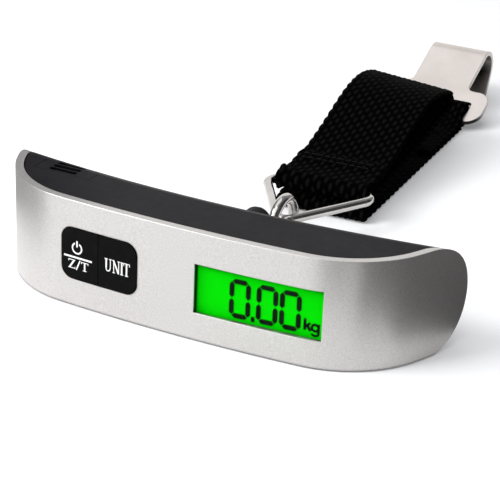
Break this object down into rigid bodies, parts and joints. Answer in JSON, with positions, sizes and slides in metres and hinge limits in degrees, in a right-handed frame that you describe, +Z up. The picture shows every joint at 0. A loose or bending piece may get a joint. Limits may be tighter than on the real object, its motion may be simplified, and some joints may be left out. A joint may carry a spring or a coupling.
{
  "type": "digital luggage scale",
  "caption": "Hand-held hanging scale with a curved grip, lit display and keys, pull eye, triangular ring, folded webbing strap and bent plate hook.",
  "frame": {"origin": "on the flat face the grip rests on, midway along the grip", "axes": "+X along the grip, display faces -Y, the pull eye, ring, strap and hook leave towards +Y, +Z up off the rest face"},
  "size_m": [0.1418, 0.2445, 0.0326],
  "materials": {
    "silver_shell": "silver painted, satin gloss",
    "dark_housing": "fine matte grain",
    "key_black": "smooth satin",
    "mat_rubber": "moulded",
    "switch_steel": "plated",
    "screw_steel": "plated",
    "lens_clear": "clear, polished",
    "display_green": "lit green field with dark numbers",
    "frame_white": "moulded",
    "light_guide": "clear moulded",
    "board_green": "solder mask",
    "chip_black": "moulded",
    "component_tan": "ceramic",
    "lead_red": "extruded insulation",
    "cell_aluminium": "milled",
    "gauge_orange": "film",
    "bright_chrome": "polished",
    "webbing_black": "woven webbing",
    "hook_steel": "satin nickel"
  },
  "bodies": {
    "grip": {"front_shell": "silver_shell", "rear_housing": "dark_housing", "housing_screws": "screw_steel", "neck_collar": "dark_housing", "keypad_mat": "mat_rubber", "key_switches": "switch_steel", "window_lens": "lens_clear", "lcd_panel": "display_green", "lcd_frame": "frame_white", "backlight": "light_guide", "zebra_strip": "mat_rubber", "circuit_board": "board_green", "scale_chip": "chip_black", "board_components": "component_tan", "battery": "switch_steel", "battery_holder": "chip_black", "contact_plus": "switch_steel", "contact_minus": "switch_steel", "battery_leads": "lead_red", "load_cell": "cell_aluminium", "strain_gauges": "gauge_orange", "gauge_wires": "lead_red", "load_cell_screws": "screw_steel", "pull_clevis": "screw_steel", "clevis_pin": "screw_steel"},
    "door": {"battery_door": "dark_housing"},
    "power_key": {"power_button": "key_black"},
    "unit_key": {"unit_button": "key_black"},
    "eye": {"pull_eye": "bright_chrome"},
    "ring": {"triangle_ring": "bright_chrome"},
    "strap_top": {"strap_top_run": "webbing_black"},
    "strap_middle": {"strap_middle_run": "webbing_black"},
    "strap_floor": {"strap_floor_run": "webbing_black"},
    "hook": {"hook_plate": "hook_steel"}
  },
  "joints": [
    {"name": "power_press", "type": "slide", "parent": "grip", "child": "power_key", "axis": [0, 1, 0], "range_m": [0, 0.0005], "stiffness_N_per_m": 2000},
    {"name": "unit_press", "type": "slide", "parent": "grip", "child": "unit_key", "axis": [0, 1, 0], "range_m": [0, 0.0005], "stiffness_N_per_m": 2000},
    {"name": "door_slide", "type": "slide", "parent": "grip", "child": "door", "axis": [0, 1, 0], "range_m": [0, 0.03]},
    {"name": "eye_swing", "type": "hinge", "parent": "grip", "child": "eye", "pos_m": [0, 0.0336, 0.0163], "axis": [1, 0, 0], "range_deg": [0, 30.4]},
    {"name": "ring_swing", "type": "hinge", "parent": "eye", "child": "ring", "pos_m": [-0.00018, 0.05852, 0.0105], "axis": [0.9984, 0.0558, 0], "range_deg": [-110, 80]},
    {"name": "strap_swing", "type": "hinge", "parent": "ring", "child": "strap_top", "pos_m": [-0.00211, 0.09302, 0.00941], "axis": [0.9984, 0.0558, 0], "range_deg": [-35, 60]},
    {"name": "far_fold", "type": "hinge", "parent": "strap_top", "child": "strap_middle", "pos_m": [-0.00666, 0.17441, 0.0152], "axis": [0.9984, 0.0558, 0], "range_deg": [0, 180]},
    {"name": "near_fold", "type": "hinge", "parent": "strap_middle", "child": "strap_floor", "pos_m": [-0.00205, 0.09194, 0.0026], "axis": [0.9984, 0.0558, 0], "range_deg": [-180, 0]},
    {"name": "hook_swing", "type": "hinge", "parent": "strap_floor", "child": "hook", "pos_m": [-0.0078, 0.19488, 0.00365], "axis": [1, 0, 0], "range_deg": [-60, 75]}
  ],
  "couplings": [
    {"joint": "near_fold", "follows": "far_fold", "ratio": -1}
  ]
}
